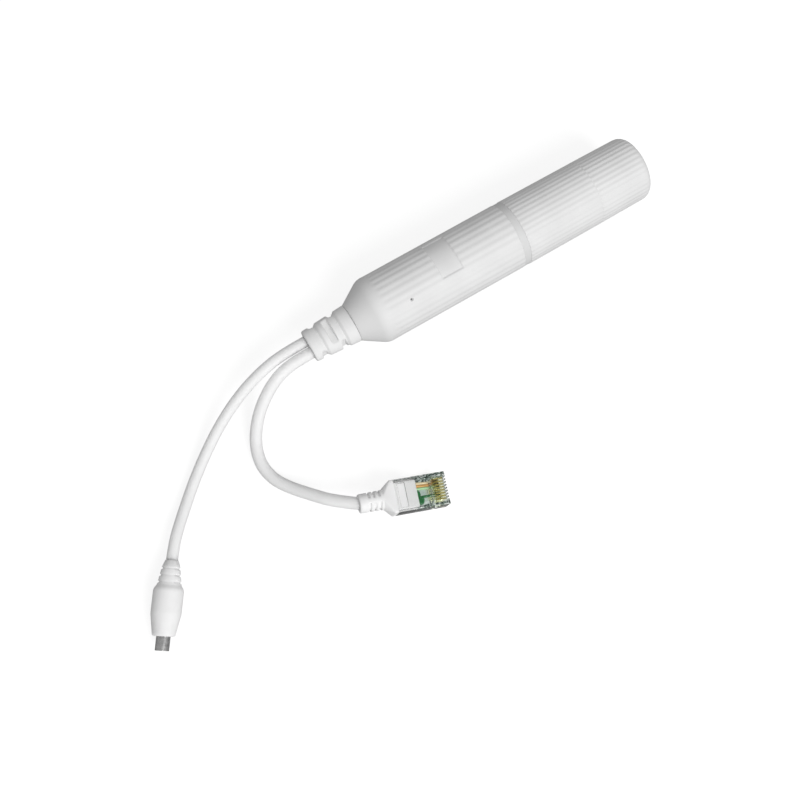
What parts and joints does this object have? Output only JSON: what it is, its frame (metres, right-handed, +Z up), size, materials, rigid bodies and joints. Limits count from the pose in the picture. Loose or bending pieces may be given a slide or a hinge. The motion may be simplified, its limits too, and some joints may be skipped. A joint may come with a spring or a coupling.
{
  "type": "poe splitter",
  "caption": "Weatherproof inline PoE splitter: ribbed round tube with a network socket behind its screw-on cover, and short network and power leads.",
  "frame": {"origin": "on the surface it lies on, under the middle of the housing with its strain relief, without the free leads", "axes": "+X along the housing towards the end nut, +Z up from the surface it lies on"},
  "size_m": [0.2332, 0.0847, 0.025],
  "materials": {
    "housing_white": "satin moulding",
    "gasket_grey": "soft satin",
    "lead_white": "soft matt jacket",
    "overmould_white": "soft satin overmoulding",
    "clear_plastic": "clear moulding",
    "claw_white": "natural moulding",
    "seal_rubber": "matt rubber",
    "black_plastic": "satin moulding",
    "gold_contact": "gold-plated spring wire",
    "board_green": "solder-mask coated laminate",
    "chip_black": "moulded package",
    "can_aluminium": "sleeved can",
    "ferrite": "ground ferrite",
    "copper_winding": "taped copper winding",
    "led_lens": "clear tinted lens",
    "wire_white_orange": "insulated conductor",
    "wire_orange": "insulated conductor",
    "wire_white_green": "insulated conductor",
    "wire_green": "insulated conductor",
    "wire_red": "insulated conductor",
    "nickel_plate": "nickel-plated sleeve"
  },
  "bodies": {
    "main": {"main_tube": "housing_white", "seam_gasket": "gasket_grey", "strain_relief": "overmould_white", "jack_housing": "black_plastic", "jack_contacts": "gold_contact", "circuit_board": "board_green", "lan_magnetics": "chip_black", "rectifier_bridges": "chip_black", "input_capacitor": "can_aluminium", "controller_chip": "chip_black", "transformer_base": "black_plastic", "transformer_core": "ferrite", "transformer_winding": "copper_winding", "output_diode": "chip_black", "output_capacitor": "can_aluminium", "status_led": "led_lens", "network_leads": "wire_orange", "dc_leads": "wire_red", "network_cable": "lead_white", "plug_boot": "overmould_white", "plug_shell": "clear_plastic", "plug_contacts": "gold_contact", "conductor_white_orange": "wire_white_orange", "conductor_orange": "wire_orange", "conductor_white_green": "wire_white_green", "conductor_green": "wire_green", "dc_cable": "lead_white", "dc_plug_body": "overmould_white", "dc_plug_barrel": "nickel_plate", "dc_plug_insulator": "black_plastic", "dc_plug_contact": "nickel_plate"},
    "cover": {"rear_cover": "housing_white", "claw_ring": "claw_white", "cable_seal": "seal_rubber"},
    "nut": {"end_nut": "housing_white"}
  },
  "joints": [
    {"name": "cover_draw", "type": "slide", "parent": "main", "child": "cover", "axis": [1, 0, 0], "range_m": [0, 0.025]},
    {"name": "nut_draw", "type": "slide", "parent": "cover", "child": "nut", "axis": [1, 0, 0], "range_m": [0, 0.016]}
  ]
}
